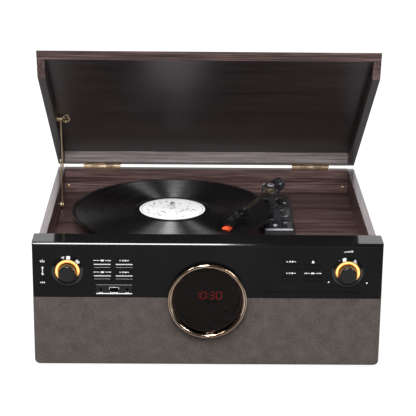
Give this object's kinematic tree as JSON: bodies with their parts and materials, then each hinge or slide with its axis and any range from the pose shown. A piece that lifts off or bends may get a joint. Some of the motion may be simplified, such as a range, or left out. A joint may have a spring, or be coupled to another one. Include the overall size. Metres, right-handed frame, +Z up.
{
  "type": "stereo music centre",
  "caption": "Wooden record player cabinet with a stay-held open lid, tonearm, gloss front with knobs, buttons, sockets and disc tray, ringed clock display and cloth grille",
  "frame": {"origin": "middle of the footprint on the surface the feet stand on, with the lid open as in the picture", "axes": "+X to the right seen from the front, along the width; +Y from the front face to the hinges; +Z up"},
  "size_m": [0.49, 0.3904, 0.4463],
  "materials": {
    "walnut": "dark wood grain, satin",
    "inner_board": "raw board",
    "foot_rubber": "matt",
    "gloss_moulding": "high gloss black",
    "black_plastic": "satin black",
    "grille_cloth": "fine plain weave",
    "gold_ring": "polished champagne gold",
    "dark_lens": "smoked, polished",
    "amber_light": "lit amber diffuser",
    "circuit_board": "solder mask",
    "zinc_steel": "zinc plated",
    "bright_steel": "polished",
    "brass": "satin brass",
    "belt_rubber": "matt",
    "platter_alloy": "satin",
    "felt": "felt",
    "vinyl": "grooved black",
    "stylus_orange": "orange red",
    "knob_gloss": "gloss black"
  },
  "bodies": {
    "root": {"cabinet_sides": "walnut", "rear_panel": "walnut", "base_board": "inner_board", "deck_board": "walnut", "front_baffle": "inner_board", "feet": "foot_rubber", "front_panel": "gloss_moulding", "grille_frame": "black_plastic", "grille_cloth": "grille_cloth", "display_bezel": "gold_ring", "display_lens": "dark_lens", "knob_bezels": "gloss_moulding", "knob_light_rings": "amber_light", "front_socket_panel": "black_plastic", "control_board": "circuit_board", "speakers": "black_plastic", "main_board": "circuit_board", "power_supply": "zinc_steel", "cd_mechanism": "black_plastic", "rear_terminals": "black_plastic", "hinge_cabinet_leaves": "brass", "hinge_pins": "brass", "stay_cabinet_bracket": "brass", "bearing_housing": "zinc_steel", "spindle": "bright_steel", "turntable_motor": "zinc_steel", "drive_belt": "belt_rubber", "tonearm_base": "black_plastic"},
    "lid": {"lid_top_board": "walnut", "lid_sides": "walnut", "lid_rear_rail": "walnut", "hinge_lid_leaves": "brass", "stay_lid_bracket": "brass"},
    "stay_lower": {"stay_lower_bar": "brass"},
    "stay_upper": {"stay_upper_bar": "brass"},
    "turntable": {"platter": "platter_alloy", "slip_mat": "felt", "record": "vinyl"},
    "motor_rotor": {"motor_pulley": "brass"},
    "arm_pivot": {"tonearm_yoke": "black_plastic"},
    "arm": {"tonearm_tube": "bright_steel", "headshell": "black_plastic", "stylus": "stylus_orange", "counterweight": "black_plastic"},
    "cue": {"cue_lever": "black_plastic"},
    "lift": {"lift_platform": "black_plastic"},
    "speed": {"speed_switch": "black_plastic"},
    "auto_stop": {"auto_stop_switch": "black_plastic"},
    "encoder": {"encoder_plunger": "zinc_steel"},
    "source": {"source_knob": "knob_gloss"},
    "volume": {"volume_knob": "knob_gloss"},
    "tray": {"cd_tray": "gloss_moulding"},
    "button_left_outer_top": {"button_left_outer_top": "gloss_moulding"},
    "button_left_inner_top": {"button_left_inner_top": "gloss_moulding"},
    "button_left_outer_low": {"button_left_outer_low": "gloss_moulding"},
    "button_left_inner_low": {"button_left_inner_low": "gloss_moulding"},
    "button_right_inner_top": {"button_right_inner_top": "gloss_moulding"},
    "button_right_outer_top": {"button_right_outer_top": "gloss_moulding"},
    "button_right_inner_low": {"button_right_inner_low": "gloss_moulding"},
    "button_right_outer_low": {"button_right_outer_low": "gloss_moulding"}
  },
  "joints": [
    {"name": "lid_hinge", "type": "hinge", "parent": "root", "child": "lid", "pos_m": [0, 0.18377, 0.18925], "axis": [1, 0, 0], "range_deg": [0, 36.65]},
    {"name": "stay_lower_swing", "type": "hinge", "parent": "root", "child": "stay_lower", "pos_m": [-0.22415, 0.08377, 0.15625], "axis": [1, 0, 0], "range_deg": [0, 45.93]},
    {"name": "stay_upper_swing", "type": "hinge", "parent": "lid", "child": "stay_upper", "pos_m": [-0.22135, 0.05354, 0.30235], "axis": [1, 0, 0], "range_deg": [0, 9.28]},
    {"name": "platter_spin", "type": "hinge", "parent": "root", "child": "turntable", "pos_m": [-0.0523, 0.01227, 0.165], "axis": [0, 0, -1], "continuous": true},
    {"name": "motor_spin", "type": "hinge", "parent": "root", "child": "motor_rotor", "pos_m": [-0.11028, 0.07026, 0.162], "axis": [0, 0, -1], "continuous": true},
    {"name": "arm_swing", "type": "hinge", "parent": "root", "child": "arm_pivot", "pos_m": [0.0986, 0.06977, 0.18], "axis": [0, 0, 1], "range_deg": [-26.5, 27.4]},
    {"name": "arm_lift", "type": "hinge", "parent": "arm_pivot", "child": "arm", "pos_m": [0.0986, 0.06977, 0.1865], "axis": [-0.9135, 0.4067, 0], "range_deg": [0, 4]},
    {"name": "cue_lever_turn", "type": "hinge", "parent": "root", "child": "cue", "pos_m": [0.115, 0.03577, 0.164], "axis": [-1, 0, 0], "range_deg": [0, 52.5]},
    {"name": "lift_slide", "type": "slide", "parent": "root", "child": "lift", "axis": [0, 0, 1], "range_m": [0, 0.0018]},
    {"name": "speed_slide", "type": "slide", "parent": "root", "child": "speed", "axis": [0, 1, 0], "range_m": [0, 0.012]},
    {"name": "auto_stop_slide", "type": "slide", "parent": "root", "child": "auto_stop", "axis": [0, 1, 0], "range_m": [0, 0.005]},
    {"name": "source_push", "type": "slide", "parent": "root", "child": "encoder", "axis": [0, 1, 0], "range_m": [0, 0.0006], "stiffness_N_per_m": 600},
    {"name": "source_turn", "type": "hinge", "parent": "encoder", "child": "source", "pos_m": [-0.1957, -0.18823, 0.1472], "axis": [0, -1, 0], "continuous": true},
    {"name": "volume_turn", "type": "hinge", "parent": "root", "child": "volume", "pos_m": [0.1957, -0.18823, 0.1472], "axis": [0, -1, 0], "range_deg": [-140, 140]},
    {"name": "button_left_outer_top_press", "type": "slide", "parent": "root", "child": "button_left_outer_top", "axis": [0, 1, 0], "range_m": [0, 0.0008], "stiffness_N_per_m": 250},
    {"name": "button_left_inner_top_press", "type": "slide", "parent": "root", "child": "button_left_inner_top", "axis": [0, 1, 0], "range_m": [0, 0.0008], "stiffness_N_per_m": 250},
    {"name": "button_left_outer_low_press", "type": "slide", "parent": "root", "child": "button_left_outer_low", "axis": [0, 1, 0], "range_m": [0, 0.0008], "stiffness_N_per_m": 250},
    {"name": "button_left_inner_low_press", "type": "slide", "parent": "root", "child": "button_left_inner_low", "axis": [0, 1, 0], "range_m": [0, 0.0008], "stiffness_N_per_m": 250},
    {"name": "button_right_inner_top_press", "type": "slide", "parent": "root", "child": "button_right_inner_top", "axis": [0, 1, 0], "range_m": [0, 0.0008], "stiffness_N_per_m": 250},
    {"name": "button_right_outer_top_press", "type": "slide", "parent": "root", "child": "button_right_outer_top", "axis": [0, 1, 0], "range_m": [0, 0.0008], "stiffness_N_per_m": 250},
    {"name": "button_right_inner_low_press", "type": "slide", "parent": "root", "child": "button_right_inner_low", "axis": [0, 1, 0], "range_m": [0, 0.0008], "stiffness_N_per_m": 250},
    {"name": "button_right_outer_low_press", "type": "slide", "parent": "root", "child": "button_right_outer_low", "axis": [0, 1, 0], "range_m": [0, 0.0008], "stiffness_N_per_m": 250},
    {"name": "tray_slide", "type": "slide", "parent": "root", "child": "tray", "axis": [0, -1, 0], "range_m": [0, 0.13]}
  ],
  "couplings": [
    {"joint": "stay_lower_swing", "follows": "lid_hinge", "ratio": 1.2479},
    {"joint": "stay_upper_swing", "follows": "lid_hinge", "ratio": 0.24785},
    {"joint": "motor_spin", "follows": "platter_spin", "ratio": 13},
    {"joint": "cue_lever_turn", "follows": "lift_slide", "rad_per_m": 484.81},
    {"joint": "arm_lift", "follows": "lift_slide", "rad_per_m": 36.847}
  ]
}
